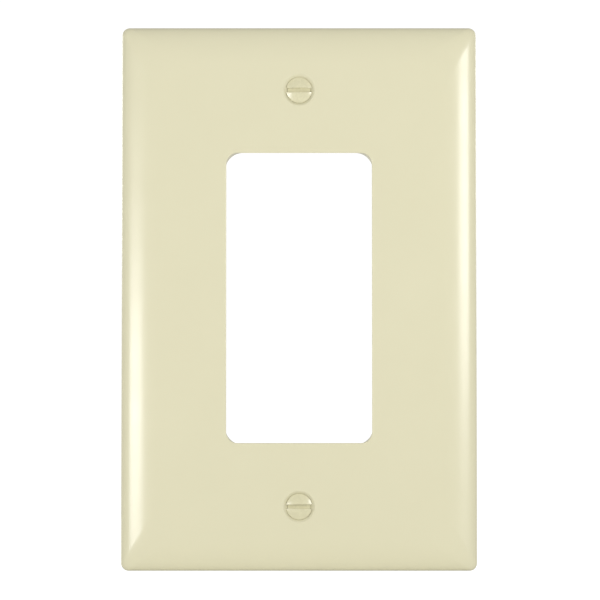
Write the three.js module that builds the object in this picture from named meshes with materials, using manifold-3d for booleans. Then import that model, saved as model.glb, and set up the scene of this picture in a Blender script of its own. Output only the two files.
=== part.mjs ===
// One-gang wall plate with a rectangular device opening, and its two captive oval-head screws.
//
// Each piece is drawn as it is moulded or turned: +X across the plate, +Y up the wall and +Z out of
// the wall, with z = 0 on the wall. The last lines stand the whole cover up, so that +Z is up and
// the front faces -Y. All sizes are millimetres.

import * as THREE from 'three';
import { mergeVertices } from 'three/addons/utils/BufferGeometryUtils.js';
import Module from 'manifold-3d';

// Plate: a shallow tray, open at the back, whose front edges roll over in a quarter ellipse.
const PLATE_WIDTH = 82.8;
const PLATE_HEIGHT = 126.6;
const PLATE_DEPTH = 5.8;
const SIDE_HEIGHT = 2.9; // straight side, from the wall to where the roll begins
const SIDE_DRAFT = 0.12; // the side leans in this much over its height
const ROLL_WIDTH = 8.5; // how far in from the side the front becomes flat
const ROLL_STEPS = 8;
const CORNER_RADIUS = 1.7; // at the wall
const CORNER_GROWTH = 0.6; // radius gained for each millimetre that the outline moves in
const CORNER_STEPS = 6;
const RIM_THICKNESS = 1.8;
const FACE_THICKNESS = 2.2;

// Device opening, narrowest just behind its front edge, with a collar around it on the back.
const OPENING_WIDTH = 33.8;
const OPENING_HEIGHT = 67.4;
const OPENING_RADIUS = 2.6;
const OPENING_EDGE = 0.25; // rounding of its front edge
const OPENING_EDGE_STEPS = 3;
const OPENING_DRAFT = 0.3; // how far each side has moved out at the collar's rear
const OPENING_REAR_RADIUS = 4.1; // the corners are rounder there too
const COLLAR_THICKNESS = 1.6;
const COLLAR_REAR = 2.0; // its rear face, out from the wall

// Stiffening ribs on the back, which end inside the rim and the face that they are moulded to.
const RIB_THICKNESS = 1.0;
const RIB_REAR = 2.4;
const RIB_ROOT = 4.2; // how far forward a rib reaches, inside the face
const RIB_INSET = 1.4; // its outer end, in from the plate's side
const SIDE_RIB_HEIGHTS = [-22, 0, 22];
const END_RIB_OFFSETS = [-12, 0, 12];

// Screw bosses and their countersunk holes.
const SCREW_SPACING = 96.84; // 3 13/16 in, the fixing centres of a device
const BOSS_RADIUS = 4.75;
const BOSS_REAR = 1.6;
const HOLE_RADIUS = 2.0;
const COUNTERSINK_RADIUS = 3.6; // at the front face
const COUNTERSINK_HALF_ANGLE = THREE.MathUtils.degToRad(41);

// Screws: 6-32 UNC by 1/2 in, slotted oval head, which leaves a narrow groove in the countersink.
const HEAD_RADIUS = 3.0;
const HEAD_FACE = PLATE_DEPTH - 0.4; // where the head's dome begins, sunk below the plate's face
const HEAD_RIM = 0.12; // straight edge of the head
const DOME_HEIGHT = 0.5;
const DOME_STEPS = 6;
const NECK_RADIUS = 1.4;
const NECK_END = 2.7; // where the neck meets the thread, out from the wall
const SCREW_LENGTH = 12.7; // from the head's rim to the tip
const SLOT_WIDTH = 1.0;
const SLOT_DEPTH = 1.0; // below the top of the dome
const THREAD_PITCH = 25.4 / 32;
const THREAD_MAJOR = 3.505 / 2;
const THREAD_MINOR = 2.53 / 2;
const THREAD_COLUMNS = 18;
const TIP_CHAMFER = 0.45;

// Retaining washers: each sits on its screw's thread behind the plate, so the screw can't fall out.
const WASHER_RADIUS = 4.0;
const WASHER_BORE = 1.86;
const WASHER_THICKNESS = 0.5;
const WASHER_CLEARANCE = 2.3; // behind the boss, which leaves the screw room to back out

const ROUND_STEPS = 48;
const OVERCUT = 1; // how far a cutter runs past the surface that it opens

const wasm = await Module();
wasm.setup();

// ---- Solids and geometries ----

// A manifold solid from a closed geometry, with its shared corners merged and slivers dropped.
function solidOf(geometry) {
  const bare = geometry.clone();
  bare.deleteAttribute('normal');
  bare.deleteAttribute('uv');
  const merged = mergeVertices(bare);
  const corners = merged.index.array;
  const triangles = [];
  for (let i = 0; i < corners.length; i += 3) {
    const [a, b, c] = corners.slice(i, i + 3);
    if (a !== b && b !== c && c !== a) {
      triangles.push(a, b, c);
    }
  }
  return new wasm.Manifold(new wasm.Mesh({
    numProp: 3,
    vertProperties: new Float32Array(merged.attributes.position.array),
    triVerts: new Uint32Array(triangles),
  }));
}

function geometryOf(solid) {
  const mesh = solid.getMesh();
  const geometry = new THREE.BufferGeometry();
  geometry.setAttribute('position', new THREE.BufferAttribute(new Float32Array(mesh.vertProperties), 3));
  geometry.setIndex(new THREE.BufferAttribute(new Uint32Array(mesh.triVerts), 1));
  geometry.computeVertexNormals();
  return geometry;
}

// A rounded rectangle's points, anticlockwise, with an arc at each corner.
function roundedRectangle(width, height, radius) {
  const points = [];
  for (let quarter = 0; quarter < 4; quarter += 1) {
    const signX = quarter === 0 || quarter === 3 ? 1 : -1;
    const signY = quarter < 2 ? 1 : -1;
    const centreX = signX * (width / 2 - radius);
    const centreY = signY * (height / 2 - radius);
    for (let step = 0; step <= CORNER_STEPS; step += 1) {
      const angle = (quarter + step / CORNER_STEPS) * (Math.PI / 2);
      points.push(new THREE.Vector2(
        centreX + radius * Math.cos(angle),
        centreY + radius * Math.sin(angle),
      ));
    }
  }
  return points;
}

// A closed skin through rings of matching convex outlines, from the lowest up, flat at both ends.
function loft(rings) {
  const count = rings[0].outline.length;
  const positions = rings.flatMap(({ outline, z }) => outline.flatMap((point) => [point.x, point.y, z]));
  const triangles = [];
  for (let ring = 0; ring + 1 < rings.length; ring += 1) {
    for (let i = 0; i < count; i += 1) {
      const a = ring * count + i;
      const b = ring * count + ((i + 1) % count);
      triangles.push(a, b, b + count, a, b + count, a + count);
    }
  }
  const last = (rings.length - 1) * count;
  for (let i = 1; i + 1 < count; i += 1) {
    triangles.push(0, i + 1, i, last, last + i, last + i + 1);
  }
  const geometry = new THREE.BufferGeometry();
  geometry.setAttribute('position', new THREE.Float32BufferAttribute(positions, 3));
  geometry.setIndex(triangles);
  return geometry;
}

// A solid of revolution about z, from [radius, z] pairs that start and end on the axis, going up.
function turned(profile) {
  const points = profile.map(([radius, z]) => new THREE.Vector2(radius, z));
  return new THREE.LatheGeometry(points, ROUND_STEPS).rotateX(Math.PI / 2);
}

function block(width, height, rear, front, x, y) {
  return new THREE.BoxGeometry(width, height, front - rear).translate(x, y, (rear + front) / 2);
}

// ---- Plate ----

function plateOutline(inset) {
  const width = PLATE_WIDTH - 2 * inset;
  const height = PLATE_HEIGHT - 2 * inset;
  return roundedRectangle(width, height, CORNER_RADIUS + CORNER_GROWTH * inset);
}

// Rings that climb a side and roll over to a flat front, wall thicknesses in from the plate's skin.
function trayRings(rear, rim, face) {
  const flatInset = SIDE_DRAFT + ROLL_WIDTH;
  const rollRise = PLATE_DEPTH - face - SIDE_HEIGHT;
  const rings = [{ outline: plateOutline(rim), z: rear }];
  for (let step = 0; step <= ROLL_STEPS; step += 1) {
    const angle = (step / ROLL_STEPS) * (Math.PI / 2);
    const inset = flatInset - (ROLL_WIDTH - rim) * Math.cos(angle);
    rings.push({ outline: plateOutline(inset), z: SIDE_HEIGHT + rollRise * Math.sin(angle) });
  }
  return rings;
}

function openingOutline(outset, radius = OPENING_RADIUS + outset) {
  return roundedRectangle(OPENING_WIDTH + 2 * outset, OPENING_HEIGHT + 2 * outset, radius);
}

function collar() {
  const outline = openingOutline(COLLAR_THICKNESS);
  return loft([{ outline, z: COLLAR_REAR }, { outline, z: RIB_ROOT }]);
}

function openingCutter() {
  const rear = openingOutline(OPENING_DRAFT, OPENING_REAR_RADIUS);
  const rings = [{ outline: rear, z: -OVERCUT }, { outline: rear, z: COLLAR_REAR }];
  for (let step = 0; step <= OPENING_EDGE_STEPS; step += 1) {
    const angle = (step / OPENING_EDGE_STEPS) * (Math.PI / 2);
    rings.push({
      outline: openingOutline(OPENING_EDGE * (1 - Math.cos(angle))),
      z: PLATE_DEPTH - OPENING_EDGE * (1 - Math.sin(angle)),
    });
  }
  rings.push({ outline: openingOutline(OPENING_EDGE), z: PLATE_DEPTH + OVERCUT });
  return loft(rings);
}

// Ribs from the collar out to the rim: across at the sides, and up and down at the two ends.
function ribs() {
  const pieces = [];
  const sideReach = PLATE_WIDTH / 2 - RIB_INSET;
  const endReach = PLATE_HEIGHT / 2 - RIB_INSET;
  const sideLength = sideReach - OPENING_WIDTH / 2;
  const endLength = endReach - OPENING_HEIGHT / 2;
  for (const sign of [-1, 1]) {
    for (const y of SIDE_RIB_HEIGHTS) {
      const x = sign * (sideReach - sideLength / 2);
      pieces.push(block(sideLength, RIB_THICKNESS, RIB_REAR, RIB_ROOT, x, y));
    }
    for (const x of END_RIB_OFFSETS) {
      const y = sign * (endReach - endLength / 2);
      pieces.push(block(RIB_THICKNESS, endLength, RIB_REAR, RIB_ROOT, x, y));
    }
  }
  return pieces;
}

function boss(y) {
  const profile = [[0, BOSS_REAR], [BOSS_RADIUS, BOSS_REAR], [BOSS_RADIUS, RIB_ROOT], [0, RIB_ROOT]];
  return turned(profile).translate(0, y, 0);
}

function screwHole(y) {
  const slope = Math.tan(COUNTERSINK_HALF_ANGLE);
  const throat = PLATE_DEPTH - (COUNTERSINK_RADIUS - HOLE_RADIUS) / slope;
  const mouth = PLATE_DEPTH + OVERCUT;
  const profile = [
    [0, -OVERCUT],
    [HOLE_RADIUS, -OVERCUT],
    [HOLE_RADIUS, throat],
    [COUNTERSINK_RADIUS + OVERCUT * slope, mouth],
    [0, mouth],
  ];
  return turned(profile).translate(0, y, 0);
}

function buildPlate() {
  const screwHeights = [-SCREW_SPACING / 2, SCREW_SPACING / 2];
  const skin = solidOf(loft(trayRings(0, 0, 0)));
  const hollow = solidOf(loft(trayRings(-OVERCUT, RIM_THICKNESS, FACE_THICKNESS)));
  let plate = skin.subtract(hollow);
  for (const addition of [collar(), ...ribs(), ...screwHeights.map(boss)]) {
    plate = plate.add(solidOf(addition));
  }
  for (const cutter of [openingCutter(), ...screwHeights.map(screwHole)]) {
    plate = plate.subtract(solidOf(cutter));
  }
  return geometryOf(plate);
}

// ---- Screws ----

// Distance along one pitch and radius at each edge of the 60 degree thread form.
function threadForm() {
  const flank = (THREAD_MAJOR - THREAD_MINOR) * Math.tan(Math.PI / 6);
  const crest = THREAD_PITCH / 8;
  const root = THREAD_PITCH - crest - 2 * flank;
  return [
    { along: 0, radius: THREAD_MINOR },
    { along: root, radius: THREAD_MINOR },
    { along: root + flank, radius: THREAD_MAJOR },
    { along: root + flank + crest, radius: THREAD_MAJOR },
  ];
}

// A right-hand threaded rod about z, from below rear to above front, whose rows follow the helix.
// A turn's last column meets the next turn's first one, and a fan to the axis closes each end.
function threadedRod(rear, front) {
  const form = threadForm();
  const turns = Math.ceil((front - rear) / THREAD_PITCH) + 1;
  const rows = turns * form.length;
  const positions = [];
  const pointAt = (row, column) => {
    const { along, radius } = form[row % form.length];
    const angle = (column / THREAD_COLUMNS) * 2 * Math.PI;
    const turn = Math.floor(row / form.length) + column / THREAD_COLUMNS;
    const z = rear - THREAD_PITCH + turn * THREAD_PITCH + along;
    return [radius * Math.cos(angle), radius * Math.sin(angle), z];
  };
  const corner = (row, column) => (column < THREAD_COLUMNS
    ? row * THREAD_COLUMNS + column
    : (row + form.length) * THREAD_COLUMNS);
  for (let row = 0; row <= rows + form.length; row += 1) {
    for (let column = 0; column < THREAD_COLUMNS; column += 1) {
      positions.push(...pointAt(row, column));
    }
  }
  const triangles = [];
  for (let row = 0; row < rows; row += 1) {
    for (let column = 0; column < THREAD_COLUMNS; column += 1) {
      const a = corner(row, column);
      const b = corner(row, column + 1);
      const c = corner(row + 1, column + 1);
      const d = corner(row + 1, column);
      triangles.push(a, b, c, a, c, d);
    }
  }
  // Each end's edge runs once around the helix and then back along the first column.
  for (const { row, flip, z } of [
    { row: 0, flip: true, z: rear - THREAD_PITCH },
    { row: rows, flip: false, z: rear + turns * THREAD_PITCH },
  ]) {
    const edge = [];
    for (let column = 0; column <= THREAD_COLUMNS; column += 1) {
      edge.push(corner(row, column));
    }
    for (let back = form.length - 1; back > 0; back -= 1) {
      edge.push(corner(row + back, 0));
    }
    const centre = positions.length / 3;
    positions.push(0, 0, z);
    edge.forEach((point, i) => {
      const next = edge[(i + 1) % edge.length];
      triangles.push(...(flip ? [centre, next, point] : [centre, point, next]));
    });
  }
  const geometry = new THREE.BufferGeometry();
  geometry.setAttribute('position', new THREE.Float32BufferAttribute(positions, 3));
  geometry.setIndex(triangles);
  return geometry;
}

// Head, countersunk underside and neck as one turning, with the dome as a true arc.
function headAndNeck() {
  const slope = Math.tan(COUNTERSINK_HALF_ANGLE);
  const coneEnd = HEAD_FACE - HEAD_RIM - (HEAD_RADIUS - NECK_RADIUS) / slope;
  const domeRadius = (HEAD_RADIUS ** 2 + DOME_HEIGHT ** 2) / (2 * DOME_HEIGHT);
  const domeCentre = HEAD_FACE + DOME_HEIGHT - domeRadius;
  const domeAngle = Math.asin(HEAD_RADIUS / domeRadius);
  const profile = [
    [0, NECK_END],
    [NECK_RADIUS, NECK_END],
    [NECK_RADIUS, coneEnd],
    [HEAD_RADIUS, HEAD_FACE - HEAD_RIM],
  ];
  for (let step = DOME_STEPS; step > 0; step -= 1) {
    const angle = (step / DOME_STEPS) * domeAngle;
    profile.push([domeRadius * Math.sin(angle), domeCentre + domeRadius * Math.cos(angle)]);
  }
  profile.push([0, HEAD_FACE + DOME_HEIGHT]);
  return turned(profile);
}

// What the thread is trimmed to: chamfered at the tip, and run out into the neck at the other end.
function threadEnvelope(tip) {
  const outside = THREAD_MAJOR + OVERCUT;
  return turned([
    [0, tip],
    [THREAD_MAJOR - TIP_CHAMFER, tip],
    [outside, tip + TIP_CHAMFER + OVERCUT],
    [outside, NECK_END - OVERCUT],
    [THREAD_MINOR, NECK_END + THREAD_MAJOR - THREAD_MINOR],
    [0, NECK_END + THREAD_MAJOR - THREAD_MINOR],
  ]);
}

function buildScrew() {
  const tip = HEAD_FACE - SCREW_LENGTH;
  const slotFloor = HEAD_FACE + DOME_HEIGHT - SLOT_DEPTH;
  const slot = block(2 * HEAD_RADIUS + OVERCUT, SLOT_WIDTH, slotFloor, HEAD_FACE + 2 * OVERCUT, 0, 0);
  const thread = solidOf(threadedRod(tip, NECK_END + OVERCUT)).intersect(solidOf(threadEnvelope(tip)));
  return geometryOf(thread.add(solidOf(headAndNeck())).subtract(solidOf(slot)));
}

// ---- Retaining washers ----

function buildWasher() {
  const front = BOSS_REAR - WASHER_CLEARANCE;
  const rear = front - WASHER_THICKNESS;
  const ring = [
    [WASHER_BORE, rear],
    [WASHER_RADIUS, rear],
    [WASHER_RADIUS, front],
    [WASHER_BORE, front],
    [WASHER_BORE, rear],
  ];
  return turned(ring);
}

// ---- Assembly ----

function piece(name, geometry, color, roughness, metalness) {
  const mesh = new THREE.Mesh(geometry, new THREE.MeshStandardMaterial({ color, roughness, metalness }));
  mesh.name = name;
  return mesh;
}

const cover = new THREE.Group();
cover.add(piece('wall_plate', buildPlate(), 0xe4dfbf, 0.4, 0));
for (const [end, y] of [['upper', SCREW_SPACING / 2], ['lower', -SCREW_SPACING / 2]]) {
  const fastening = new THREE.Group();
  fastening.position.y = y;
  fastening.add(piece(`${end}_screw`, buildScrew(), 0xe2ddbe, 0.35, 0.3));
  fastening.add(piece(`${end}_retaining_washer`, buildWasher(), 0xb08d62, 0.85, 0));
  cover.add(fastening);
}
cover.rotation.x = Math.PI / 2;

export default cover;
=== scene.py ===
"""Looks of a one-gang wall plate with a rectangular device opening and two captive screws.

Pieces are drawn in millimetres as they are moulded or turned: x across the plate, y up the wall and
z out of the wall, with z = 0 on the wall. TO_FRAME takes them into the CAD frame, in metres.
"""

from math import asin, ceil, cos, pi, radians, sin, tan

import bmesh
import bpy
from mathutils import Matrix, Vector


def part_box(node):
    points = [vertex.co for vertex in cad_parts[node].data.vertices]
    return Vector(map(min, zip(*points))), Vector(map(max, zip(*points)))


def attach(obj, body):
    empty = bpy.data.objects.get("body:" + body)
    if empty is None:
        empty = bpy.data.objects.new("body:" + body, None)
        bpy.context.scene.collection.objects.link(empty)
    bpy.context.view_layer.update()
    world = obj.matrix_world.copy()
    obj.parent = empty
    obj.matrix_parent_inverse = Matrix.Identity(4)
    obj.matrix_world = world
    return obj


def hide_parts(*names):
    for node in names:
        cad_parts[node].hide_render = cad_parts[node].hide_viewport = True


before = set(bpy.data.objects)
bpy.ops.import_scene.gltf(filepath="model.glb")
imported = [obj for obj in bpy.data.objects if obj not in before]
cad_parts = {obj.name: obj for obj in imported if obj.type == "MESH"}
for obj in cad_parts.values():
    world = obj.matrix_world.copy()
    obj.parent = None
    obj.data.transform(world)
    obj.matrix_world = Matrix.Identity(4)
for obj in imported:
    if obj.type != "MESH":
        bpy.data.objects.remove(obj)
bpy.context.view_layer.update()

MM = 0.001
TO_FRAME = Matrix(((MM, 0, 0), (0, 0, -MM), (0, MM, 0))).to_4x4()
QUARTER = pi / 2

# ---- Sizes in millimetres, from the CAD nodes where they give them ----

plate_low, plate_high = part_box("wall_plate")
PLATE_WIDTH = (plate_high.x - plate_low.x) / MM
PLATE_HEIGHT = (plate_high.z - plate_low.z) / MM
PLATE_DEPTH = (plate_high.y - plate_low.y) / MM
SIDE_HEIGHT = 2.9  # straight side, from the wall to where the roll begins
SIDE_DRAFT = 0.12  # the side leans in this much over its height
ROLL_WIDTH = 8.5  # how far in from the side the front becomes flat
CORNER_RADIUS = 1.7  # at the wall
CORNER_GROWTH = 0.6  # radius gained for each millimetre that the outline moves in
RIM_THICKNESS = 1.8
RIM_EDGE = 0.2  # rounding of the rim's rear edges
FACE_THICKNESS = 2.2
CEILING = PLATE_DEPTH - FACE_THICKNESS  # the back of the face
ROOT = CEILING + 0.6  # how far forward ribs, collar and bosses reach, inside the face

OPENING_WIDTH = 33.8
OPENING_HEIGHT = 67.4
OPENING_RADIUS = 2.6
OPENING_EDGE = 0.25  # rounding of its front and rear edges
OPENING_DRAFT = 0.3  # how far each side has moved out at the collar's rear
OPENING_REAR_RADIUS = 4.1
COLLAR_THICKNESS = 1.6
COLLAR_REAR = 2.0
COLLAR_EDGE = 0.25  # rounding of its outer rear edge

RIB_REAR = 2.4
RIB_HALF_REAR = 0.4
RIB_HALF_ROOT = 0.5
RIB_INSET = 1.4  # a rib's outer end, in from the plate's side
SIDE_RIB_HEIGHTS = (-22, 0, 22)
END_RIB_OFFSETS = (-12, 0, 12)
FILLET = 0.35  # where ribs, collar and bosses meet the face

BOSS_RADIUS = 4.75
BOSS_REAR = 1.6
BOSS_EDGE = 0.25
HOLE_RADIUS = 2.0
HOLE_EDGE = 0.12
COUNTERSINK_RADIUS = 3.6
COUNTERSINK_SLOPE = tan(radians(41))  # half of the 82 degree countersink

HEAD_RADIUS = 3.0
HEAD_FACE = PLATE_DEPTH - 0.4  # where the head's dome begins, sunk below the plate's face
HEAD_RIM = 0.12
DOME_HEIGHT = 0.5
NECK_RADIUS = 1.4
NECK_END = 2.7
NECK_REACH = 1.2  # how far the neck runs on from there, into the head
NECK_INSET = 0.01  # keeps the neck's skin just off the head's
SCREW_TIP = -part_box("upper_screw")[1].y / MM
SLOT_WIDTH = 1.0
SLOT_DEPTH = 1.0
HEAD_EDGE = 0.07  # softening of the head's edges, along the slot too
THREAD_PITCH = 25.4 / 32
THREAD_MAJOR = 3.505 / 2
THREAD_MINOR = 2.53 / 2
THREAD_RUN_OUT = 0.8  # how steeply the thread fades into the neck
TIP_CHAMFER = 0.45

WASHER_RADIUS = 4.0
WASHER_BORE = 1.82
WASHER_EDGE = 0.12

CORNER_STEPS = 16
ROLL_STEPS = 24
EDGE_STEPS = 4
ROUND_STEPS = 96
DOME_STEPS = 16
THREAD_COLUMNS = 48
THREAD_ROWS = 16  # in each pitch
OVERCUT = 1.0  # how far a cutter runs past the surface that it opens

SHARP_DEGREES = 30  # an edge that turns more than this is a real edge
SHANK_SHARP_DEGREES = 40
WASHER_SHARP_DEGREES = 50

# ---- Camera, floor and light, in millimetres ----

CAMERA_DISTANCE = 900.0  # from the plate's face
CAMERA_AIM = (0.21, -0.53)  # a point on the face, across and up
CAMERA_UPWARD = radians(3)
VIEW_WIDTH = 139.2  # across the frame at the face
FLOOR_REACH = 3000.0
FLOOR_GLOW = 0.3  # how strongly the floor glows onto the pieces
FLOOR_SEEN = 0.97  # and how strongly towards the camera
WORLD_LIGHT = 0.46  # the same two for the world
WORLD_SEEN = 1.05
SOFTBOXES = (  # name, place, size and radiance
    ("left_softbox", (-273, -36, 366), (200, 132), 12),
    ("right_softbox", (299, 64, 348), (172, 136), 10.5),
    ("left_rear_softbox", (-420, 160, -420), (240, 240), 4),
    ("right_rear_softbox", (420, 160, -420), (240, 240), 3),
)


def centre_of(node):
    """A node's centre on the plate, across and up, in millimetres."""
    low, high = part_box(node)
    return (low.x + high.x) / 2 / MM, (low.z + high.z) / 2 / MM


# ---- Meshes ----


def new_object(name, vertices, faces):
    mesh = bpy.data.meshes.new(name)
    mesh.from_pydata(vertices, [], faces)
    mesh.validate()
    made = bmesh.new()
    made.from_mesh(mesh)
    bmesh.ops.remove_doubles(made, verts=made.verts, dist=1e-5)
    bmesh.ops.recalc_face_normals(made, faces=made.faces)
    made.to_mesh(mesh)
    made.free()
    thing = bpy.data.objects.new(name, mesh)
    bpy.context.scene.collection.objects.link(thing)
    return thing


def rounded_rectangle(width, height, radius):
    """Points of a rounded rectangle, anticlockwise."""
    points = []
    for quarter, (side, end) in enumerate(((1, 1), (-1, 1), (-1, -1), (1, -1))):
        for step in range(CORNER_STEPS + 1):
            angle = (quarter + step / CORNER_STEPS) * QUARTER
            across = side * (width / 2 - radius) + radius * cos(angle)
            up = end * (height / 2 - radius) + radius * sin(angle)
            points.append((across, up))
    return points


def loft(name, rings):
    """A closed skin through (outline, z) rings of matching points, from the lowest up."""
    count = len(rings[0][0])
    vertices = [(x, y, z) for outline, z in rings for x, y in outline]
    faces = [tuple(reversed(range(count)))]
    for ring in range(len(rings) - 1):
        for i in range(count):
            a, b = ring * count + i, ring * count + (i + 1) % count
            faces.append((a, b, b + count, a + count))
    faces.append(tuple(range((len(rings) - 1) * count, len(rings) * count)))
    return new_object(name, vertices, faces)


def turned(name, profile, centre):
    """A ring or solid of revolution about z, through (radius, z) pairs."""
    steps = ROUND_STEPS
    vertices = []
    for radius, z in profile:
        for step in range(steps):
            angle = step / steps * 2 * pi
            vertices.append((centre[0] + radius * cos(angle), centre[1] + radius * sin(angle), z))
    faces = []
    for row in range(len(profile) - 1):
        for step in range(steps):
            a, b = row * steps + step, row * steps + (step + 1) % steps
            faces.append((a, b, b + steps, a + steps))
    return new_object(name, vertices, faces)


def arc(centre, radius, start, end):
    """Points on an arc in the (radius, z) plane, from one angle to another, in degrees."""
    angles = [radians(start + (end - start) * step / EDGE_STEPS) for step in range(EDGE_STEPS + 1)]
    return [(centre[0] + radius * cos(a), centre[1] + radius * sin(a)) for a in angles]


def combine(target, other, operation):
    """Joins other to target, or cuts it from target, and deletes other."""
    boolean = target.modifiers.new("combine", "BOOLEAN")
    boolean.operation = operation
    boolean.solver = "EXACT"
    boolean.object = other
    apply_modifiers(target)
    bpy.data.objects.remove(other)


def apply_modifiers(thing):
    graph = bpy.context.evaluated_depsgraph_get()
    mesh = bpy.data.meshes.new_from_object(thing.evaluated_get(graph))
    thing.modifiers.clear()
    thing.data = mesh


def finish_surface(thing, sharp_degrees=SHARP_DEGREES):
    """Moves thing into the CAD frame, and shades it smooth with sharp edges and flat faces kept."""
    thing.data.transform(TO_FRAME)
    thing.data.shade_smooth()
    thing.data.set_sharp_from_angle(angle=radians(sharp_degrees))
    weighted = thing.modifiers.new("weighted_normals", "WEIGHTED_NORMAL")
    weighted.keep_sharp = True
    apply_modifiers(thing)
    return thing


# ---- Wall plate ----


def plate_outline(inset):
    """The plate's outline, inset from what it is at the wall."""
    radius = CORNER_RADIUS + CORNER_GROWTH * inset
    return rounded_rectangle(PLATE_WIDTH - 2 * inset, PLATE_HEIGHT - 2 * inset, radius)


def opening_outline(outset, radius=None):
    """The opening's outline, outset from its narrowest, with corners that follow unless given."""
    width, height = OPENING_WIDTH + 2 * outset, OPENING_HEIGHT + 2 * outset
    return rounded_rectangle(width, height, radius or OPENING_RADIUS + outset)


def roll_rings(wall, face):
    """Rings of the elliptical roll from the side to the flat front, wall and face in from the skin."""
    rings = []
    for step in range(ROLL_STEPS + 1):
        angle = step / ROLL_STEPS * QUARTER
        inset = SIDE_DRAFT + ROLL_WIDTH - (ROLL_WIDTH - wall) * cos(angle)
        rise = (PLATE_DEPTH - face - SIDE_HEIGHT) * sin(angle)
        rings.append((plate_outline(inset), SIDE_HEIGHT + rise))
    return rings


def plate_skin():
    rear = [(plate_outline(RIM_EDGE - x), RIM_EDGE + z) for x, z in arc((0, 0), RIM_EDGE, -90, 0)]
    return loft("wall_plate", rear + roll_rings(0, 0))


def plate_hollow():
    mouth = RIM_THICKNESS - RIM_EDGE
    rear = [(plate_outline(mouth), -OVERCUT)]
    rear += [(plate_outline(mouth + x), z) for x, z in arc((0, RIM_EDGE), RIM_EDGE, -90, 0)]
    return loft("hollow", rear + roll_rings(RIM_THICKNESS, FACE_THICKNESS))


def collar():
    edge = arc((COLLAR_THICKNESS - COLLAR_EDGE, COLLAR_REAR + COLLAR_EDGE), COLLAR_EDGE, -90, 0)
    fillet = arc((COLLAR_THICKNESS + FILLET, CEILING - FILLET), FILLET, 180, 90)
    rings = [(opening_outline(outset), z) for outset, z in edge + fillet]
    return loft("collar", rings + [(rings[-1][0], ROOT)])


def opening_cutter():
    """The opening: rounded at its front edge, drafted wider and rounder to its softened rear edge."""
    edge = OPENING_EDGE
    rings = []
    for angle in quarter_angles():
        softened = edge * (1 - sin(angle))
        outline = opening_outline(OPENING_DRAFT + softened, OPENING_REAR_RADIUS + softened)
        rings.append((outline, COLLAR_REAR + edge * (1 - cos(angle))))
    rings.insert(0, (rings[0][0], -OVERCUT))
    for angle in quarter_angles():
        outline = opening_outline(edge * (1 - cos(angle)))
        rings.append((outline, PLATE_DEPTH - edge * (1 - sin(angle))))
    rings.append((rings[-1][0], PLATE_DEPTH + OVERCUT))
    return loft("opening", rings)


def quarter_angles():
    return [step / EDGE_STEPS * QUARTER for step in range(EDGE_STEPS + 1)]


def rib(start, end):
    """A tapered rib with a rounded rear edge and a filleted root, from start to end on the plate."""
    start, end = Vector(start), Vector(end)
    sideways = Vector((start.y - end.y, end.x - start.x)).normalized()
    half = [(RIB_HALF_REAR * sin(a), RIB_REAR + RIB_HALF_REAR * (1 - cos(a))) for a in quarter_angles()]
    half += [
        (RIB_HALF_ROOT + FILLET * (1 - sin(a)), CEILING - FILLET * (1 - cos(a)))
        for a in reversed(quarter_angles())
    ]
    half += [(RIB_HALF_ROOT + FILLET, ROOT)]
    section = half + [(-across, z) for across, z in reversed(half)]
    count = len(section)
    vertices = []
    for point in (start, end):
        for across, z in section:
            vertices.append((*(point + sideways * across), z))
    faces = [tuple(range(count)), tuple(range(count, 2 * count))]
    for i in range(count):
        j = (i + 1) % count
        faces.append((i, j, j + count, i + count))
    return new_object("rib", vertices, faces)


def ribs():
    made = []
    side_reach = PLATE_WIDTH / 2 - RIB_INSET
    end_reach = PLATE_HEIGHT / 2 - RIB_INSET
    for sign in (-1, 1):
        for y in SIDE_RIB_HEIGHTS:
            made.append(rib((sign * OPENING_WIDTH / 2, y), (sign * side_reach, y)))
        for x in END_RIB_OFFSETS:
            made.append(rib((x, sign * OPENING_HEIGHT / 2), (x, sign * end_reach)))
    return made


def boss(centre):
    rim = arc((BOSS_RADIUS - BOSS_EDGE, BOSS_REAR + BOSS_EDGE), BOSS_EDGE, -90, 0)
    root = arc((BOSS_RADIUS + FILLET, CEILING - FILLET), FILLET, 180, 90)
    profile = [(0, BOSS_REAR)] + rim + root + [(BOSS_RADIUS + FILLET, ROOT), (0, ROOT)]
    return turned("boss", profile, centre)


def screw_hole(centre):
    """The countersunk clearance hole, with a slight round at each mouth."""
    edge = HOLE_EDGE
    throat = PLATE_DEPTH - (COUNTERSINK_RADIUS - HOLE_RADIUS) / COUNTERSINK_SLOPE
    rear = [
        (HOLE_RADIUS + edge * (1 - sin(a)), BOSS_REAR + edge * (1 - cos(a)))
        for a in quarter_angles()
    ]
    cone_top = COUNTERSINK_RADIUS - edge * COUNTERSINK_SLOPE
    profile = [(0, -OVERCUT), (HOLE_RADIUS + edge, -OVERCUT)] + rear
    profile += [
        (HOLE_RADIUS, throat),
        (cone_top, PLATE_DEPTH - edge),
        (COUNTERSINK_RADIUS, PLATE_DEPTH - edge / 3),
        (COUNTERSINK_RADIUS + edge / 2, PLATE_DEPTH),
        (COUNTERSINK_RADIUS + edge / 2, PLATE_DEPTH + OVERCUT),
        (0, PLATE_DEPTH + OVERCUT),
    ]
    return turned("screw_hole", profile, centre)


def build_plate(screw_centres):
    plate = plate_skin()
    combine(plate, plate_hollow(), "DIFFERENCE")
    for addition in [collar(), *ribs(), *map(boss, screw_centres)]:
        combine(plate, addition, "UNION")
    for cutter in [opening_cutter(), *map(screw_hole, screw_centres)]:
        combine(plate, cutter, "DIFFERENCE")
    return finish_surface(plate)


# ---- Screws ----


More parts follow.
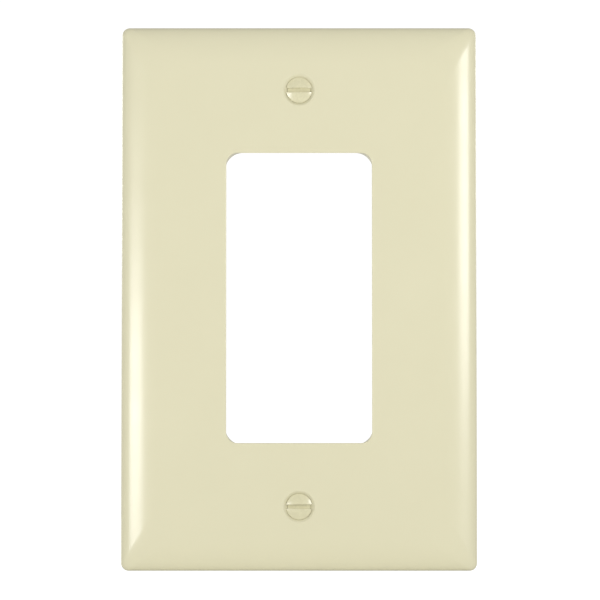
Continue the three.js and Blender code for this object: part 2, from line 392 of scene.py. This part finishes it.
def build_head(name, centre):
    """A slotted oval head with its countersunk underside, and softened edges along the slot."""
    cone_end = HEAD_FACE - HEAD_RIM - (HEAD_RADIUS - NECK_RADIUS) / COUNTERSINK_SLOPE
    dome_radius = (HEAD_RADIUS**2 + DOME_HEIGHT**2) / (2 * DOME_HEIGHT)
    dome_centre = HEAD_FACE + DOME_HEIGHT - dome_radius
    dome_angle = asin(HEAD_RADIUS / dome_radius)
    profile = [(0, cone_end), (NECK_RADIUS, cone_end), (HEAD_RADIUS, HEAD_FACE - HEAD_RIM)]
    for step in range(DOME_STEPS, -1, -1):
        angle = step / DOME_STEPS * dome_angle
        profile.append((dome_radius * sin(angle), dome_centre + dome_radius * cos(angle)))
    head = turned(name, profile, centre)
    floor_z = HEAD_FACE + DOME_HEIGHT - SLOT_DEPTH
    reach = HEAD_RADIUS + OVERCUT
    outline = [
        (centre[0] + x * reach, centre[1] + y * SLOT_WIDTH / 2)
        for x, y in ((1, 1), (-1, 1), (-1, -1), (1, -1))
    ]
    combine(head, loft("slot", [(outline, floor_z), (outline, PLATE_DEPTH + OVERCUT)]), "DIFFERENCE")
    bevel = head.modifiers.new("soft_edges", "BEVEL")
    bevel.width = HEAD_EDGE
    bevel.segments = 3
    bevel.limit_method = "ANGLE"
    bevel.angle_limit = radians(SHARP_DEGREES)
    apply_modifiers(head)
    return finish_surface(head)


def thread_radius(phase):
    """Radius of the 60 degree thread form at a phase from 0 to 1 along one pitch."""
    flank = (THREAD_MAJOR - THREAD_MINOR) * tan(radians(30)) / THREAD_PITCH
    crest = 1 / 8
    from_crest = abs(phase - 0.5) - crest / 2
    fall = min(1, max(0, from_crest / flank))
    return THREAD_MAJOR + (THREAD_MINOR - THREAD_MAJOR) * fall


def build_shank(name, centre):
    """The threaded shank: rows along the axis, whose radius follows a right-hand helix."""
    columns = THREAD_COLUMNS
    top = NECK_END + NECK_REACH
    rows = ceil((top - SCREW_TIP) / THREAD_PITCH * THREAD_ROWS)
    vertices = []
    for row in range(rows + 1):
        z = SCREW_TIP + (top - SCREW_TIP) * row / rows
        limit = THREAD_MAJOR - TIP_CHAMFER + (z - SCREW_TIP)
        run_out = NECK_RADIUS + max(0, NECK_END - z) * THREAD_RUN_OUT
        for column in range(columns):
            turn = column / columns
            phase = (z / THREAD_PITCH - turn) % 1
            radius = min(thread_radius(phase), limit, run_out)
            if z > NECK_END:
                radius = NECK_RADIUS - NECK_INSET
            angle = turn * 2 * pi
            vertices.append((centre[0] + radius * cos(angle), centre[1] + radius * sin(angle), z))
    faces = [tuple(reversed(range(columns))), tuple(range(rows * columns, (rows + 1) * columns))]
    for row in range(rows):
        for column in range(columns):
            a, b = row * columns + column, row * columns + (column + 1) % columns
            faces.append((a, b, b + columns, a + columns))
    return finish_surface(new_object(name, vertices, faces), SHANK_SHARP_DEGREES)


# ---- Retaining washers ----


def build_washer(name, node, centre):
    """A die-cut paper washer with slightly rounded edges."""
    low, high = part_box(node)
    rear, front = -high.y / MM, -low.y / MM
    edge = WASHER_EDGE
    corners = [
        (WASHER_BORE + edge, rear + edge, 180, 270),
        (WASHER_RADIUS - edge, rear + edge, 270, 360),
        (WASHER_RADIUS - edge, front - edge, 0, 90),
        (WASHER_BORE + edge, front - edge, 90, 180),
    ]
    profile = []
    for radius, z, start, end in corners:
        profile += arc((radius, z), edge, start, end)
    profile.append(profile[0])
    return finish_surface(turned(name, profile, centre), WASHER_SHARP_DEGREES)


# ---- Materials ----

NOISE_LOW = 0.3  # a noise value mostly lies between these
NOISE_HIGH = 0.7
MIX_COLOURS_IN = (6, 7)  # sockets of a Mix node that mixes colours
MIX_COLOUR_OUT = 2


def new_material(name, colour, roughness, metallic=0.0):
    """A Principled material, its nodes, and object coordinates in metres."""
    material = bpy.data.materials.new(name)
    material.use_nodes = True
    tree = material.node_tree
    shader = tree.nodes["Principled BSDF"]
    shader.inputs["Base Color"].default_value = (*colour, 1)
    shader.inputs["Roughness"].default_value = roughness
    shader.inputs["Metallic"].default_value = metallic
    place = tree.nodes.new("ShaderNodeTexCoord").outputs["Object"]
    return material, tree, shader, place


def add_noise(tree, place, size_mm, detail=2.0):
    """Noise whose features are about size_mm across."""
    noise = tree.nodes.new("ShaderNodeTexNoise")
    noise.inputs["Scale"].default_value = 1 / (size_mm * MM)
    noise.inputs["Detail"].default_value = detail
    tree.links.new(place, noise.inputs["Vector"])
    return noise.outputs["Fac"]


def spread(tree, noise, low, high):
    """A noise's usual values, spread from low to high."""
    node = tree.nodes.new("ShaderNodeMapRange")
    node.inputs["From Min"].default_value = NOISE_LOW
    node.inputs["From Max"].default_value = NOISE_HIGH
    node.inputs["To Min"].default_value = low
    node.inputs["To Max"].default_value = high
    tree.links.new(noise, node.inputs["Value"])
    return node.outputs["Result"]


def mix_colours(tree, factor, first, second):
    node = tree.nodes.new("ShaderNodeMix")
    node.data_type = "RGBA"
    tree.links.new(factor, node.inputs["Factor"])
    for socket, colour in zip(MIX_COLOURS_IN, (first, second)):
        node.inputs[socket].default_value = (*colour, 1)
    return node.outputs[MIX_COLOUR_OUT]


def add_bump(tree, shader, height, depth_mm):
    node = tree.nodes.new("ShaderNodeBump")
    node.inputs["Strength"].default_value = 1.0
    node.inputs["Distance"].default_value = depth_mm * MM
    tree.links.new(height, node.inputs["Height"])
    tree.links.new(node.outputs["Normal"], shader.inputs["Normal"])


def ivory_nylon():
    """Satin moulded nylon: a faint flow mottle, a faint change of gloss and a fine mould texture."""
    colour = (0.705, 0.671, 0.467)
    pale = (0.72, 0.686, 0.482)
    material, tree, shader, place = new_material("ivory_nylon", colour, 0.24)
    shader.inputs["IOR"].default_value = 1.53
    mottle = add_noise(tree, place, 18, 3)
    tree.links.new(mix_colours(tree, mottle, colour, pale), shader.inputs["Base Color"])
    gloss = add_noise(tree, place, 9)
    tree.links.new(spread(tree, gloss, 0.22, 0.26), shader.inputs["Roughness"])
    add_bump(tree, shader, add_noise(tree, place, 0.5, 3), 0.002)
    return material


def ivory_enamel():
    """Baked enamel on the screw heads: glossier than the plate, slightly uneven."""
    colour = (0.70, 0.665, 0.445)
    deep = (0.64, 0.605, 0.40)
    material, tree, shader, place = new_material("ivory_enamel", colour, 0.25)
    shader.inputs["Coat Weight"].default_value = 0.3
    shader.inputs["Coat Roughness"].default_value = 0.12
    mottle = mix_colours(tree, add_noise(tree, place, 1.5, 3), colour, deep)
    tree.links.new(mottle, shader.inputs["Base Color"])
    tree.links.new(spread(tree, add_noise(tree, place, 1), 0.2, 0.32), shader.inputs["Roughness"])
    add_bump(tree, shader, add_noise(tree, place, 0.4), 0.01)
    return material


def zinc_plate():
    """Bright zinc on rolled steel threads, with faint blue and straw tints."""
    material, tree, shader, place = new_material("zinc_plate", (0.6, 0.6, 0.6), 0.3, 1.0)
    tint = mix_colours(tree, add_noise(tree, place, 2, 3), (0.55, 0.57, 0.6), (0.68, 0.66, 0.58))
    tree.links.new(tint, shader.inputs["Base Color"])
    tree.links.new(spread(tree, add_noise(tree, place, 0.3), 0.24, 0.42), shader.inputs["Roughness"])
    add_bump(tree, shader, add_noise(tree, place, 0.15), 0.006)
    return material


def washer_paper():
    """Pressed fibre paper: flecks and short fibres on a brown ground."""
    material, tree, shader, place = new_material("washer_paper", (0.45, 0.28, 0.13), 0.85)
    ground = mix_colours(tree, add_noise(tree, place, 0.6, 4), (0.36, 0.21, 0.09), (0.56, 0.37, 0.19))
    tree.links.new(ground, shader.inputs["Base Color"])
    add_bump(tree, shader, add_noise(tree, place, 0.2, 5), 0.03)
    return material


def floor_material():
    """A pale table that is seen as white as the background, and throws little light on the plate."""
    material, tree, shader, place = new_material("pale_floor", (0.5, 0.5, 0.5), 0.9)
    grain = mix_colours(tree, add_noise(tree, place, 3, 3), (0.49, 0.49, 0.49), (0.52, 0.52, 0.52))
    tree.links.new(grain, shader.inputs["Base Color"])
    shader.inputs["Specular IOR Level"].default_value = 0.0
    shader.inputs["Emission Color"].default_value = (1, 1, 1, 1)
    rays = tree.nodes.new("ShaderNodeLightPath")
    glow = tree.nodes.new("ShaderNodeMapRange")
    glow.inputs["To Min"].default_value = FLOOR_GLOW
    glow.inputs["To Max"].default_value = FLOOR_SEEN
    tree.links.new(rays.outputs["Is Camera Ray"], glow.inputs["Value"])
    tree.links.new(glow.outputs["Result"], shader.inputs["Emission Strength"])
    return material


# ---- Stage ----


def build_camera():
    """Almost square to the front, from a little below, far enough back that the sides don't show."""
    aim = Vector((*CAMERA_AIM, PLATE_DEPTH))
    back = Vector((0, -sin(CAMERA_UPWARD), cos(CAMERA_UPWARD)))
    data = bpy.data.cameras.new("camera")
    data.sensor_width = 36
    data.lens = data.sensor_width * CAMERA_DISTANCE / VIEW_WIDTH
    data.clip_start = 0.01
    camera = bpy.data.objects.new("camera", data)
    camera.location = TO_FRAME @ (aim + CAMERA_DISTANCE * back)
    camera.rotation_euler = (QUARTER + CAMERA_UPWARD, 0, 0)
    bpy.context.scene.collection.objects.link(camera)
    bpy.context.scene.camera = camera


def add_softbox(name, place, size, radiance):
    """A rectangular lamp at place, in millimetres, that faces the middle of the plate."""
    data = bpy.data.lights.new(name, "AREA")
    data.shape = "RECTANGLE"
    data.size, data.size_y = size[0] * MM, size[1] * MM
    data.energy = radiance * pi * data.size * data.size_y
    lamp = bpy.data.objects.new(name, data)
    lamp.location = TO_FRAME @ Vector(place)
    lamp.rotation_euler = (-lamp.location).to_track_quat("-Z", "Y").to_euler()
    lamp.visible_camera = False
    bpy.context.scene.collection.objects.link(lamp)


def build_world():
    """White behind the object, and a softer even light from all around it."""
    world = bpy.data.worlds.new("studio")
    world.use_nodes = True
    tree = world.node_tree
    lit = tree.nodes["Background"]
    lit.inputs["Color"].default_value = (1, 1, 1, 1)
    lit.inputs["Strength"].default_value = WORLD_LIGHT
    seen = tree.nodes.new("ShaderNodeBackground")
    seen.inputs["Strength"].default_value = WORLD_SEEN
    seen.inputs["Color"].default_value = (1, 1, 1, 1)
    rays = tree.nodes.new("ShaderNodeLightPath")
    mix = tree.nodes.new("ShaderNodeMixShader")
    tree.links.new(rays.outputs["Is Camera Ray"], mix.inputs[0])
    tree.links.new(lit.outputs[0], mix.inputs[1])
    tree.links.new(seen.outputs[0], mix.inputs[2])
    tree.links.new(mix.outputs[0], tree.nodes["World Output"].inputs["Surface"])
    bpy.context.scene.world = world


def build_floor():
    """A wide floor at the plate's lower edge."""
    bottom = plate_low.z / MM
    signs = ((1, 1), (-1, 1), (-1, -1), (1, -1))
    corners = [(x * FLOOR_REACH, bottom, y * FLOOR_REACH) for x, y in signs]
    plane = new_object("floor", corners, [(0, 1, 2, 3)])
    plane.data.transform(TO_FRAME)
    plane.data.materials.append(floor_material())


build_camera()
build_world()
for softbox in SOFTBOXES:
    add_softbox(*softbox)
build_floor()
bpy.context.scene.view_settings.view_transform = "Standard"

# ---- Assembly ----


def place_piece(piece, body, slot, material, *nodes):
    piece.data.materials.clear()
    piece.data.materials.append(material)
    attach(piece, body)
    if nodes:
        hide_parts(*nodes)


nylon, enamel, zinc, paper = ivory_nylon(), ivory_enamel(), zinc_plate(), washer_paper()
ends = ("upper", "lower")
centres = {end: centre_of(f"{end}_screw") for end in ends}
plate = build_plate([centres[end] for end in ends])
plate.name = "moulded_plate"
place_piece(plate, "plate", "ivory_plastic", nylon, "wall_plate")
for end in ends:
    head = build_head(f"{end}_screw_head", centres[end])
    place_piece(head, f"{end}_screw", "ivory_paint", enamel, f"{end}_screw")
    shank = build_shank(f"{end}_screw_shank", centres[end])
    place_piece(shank, f"{end}_screw", "zinc_plate", zinc, f"{end}_screw")
    washer = build_washer(f"{end}_washer", f"{end}_retaining_washer", centres[end])
    place_piece(washer, f"{end}_washer", "washer_paper", paper, f"{end}_retaining_washer")
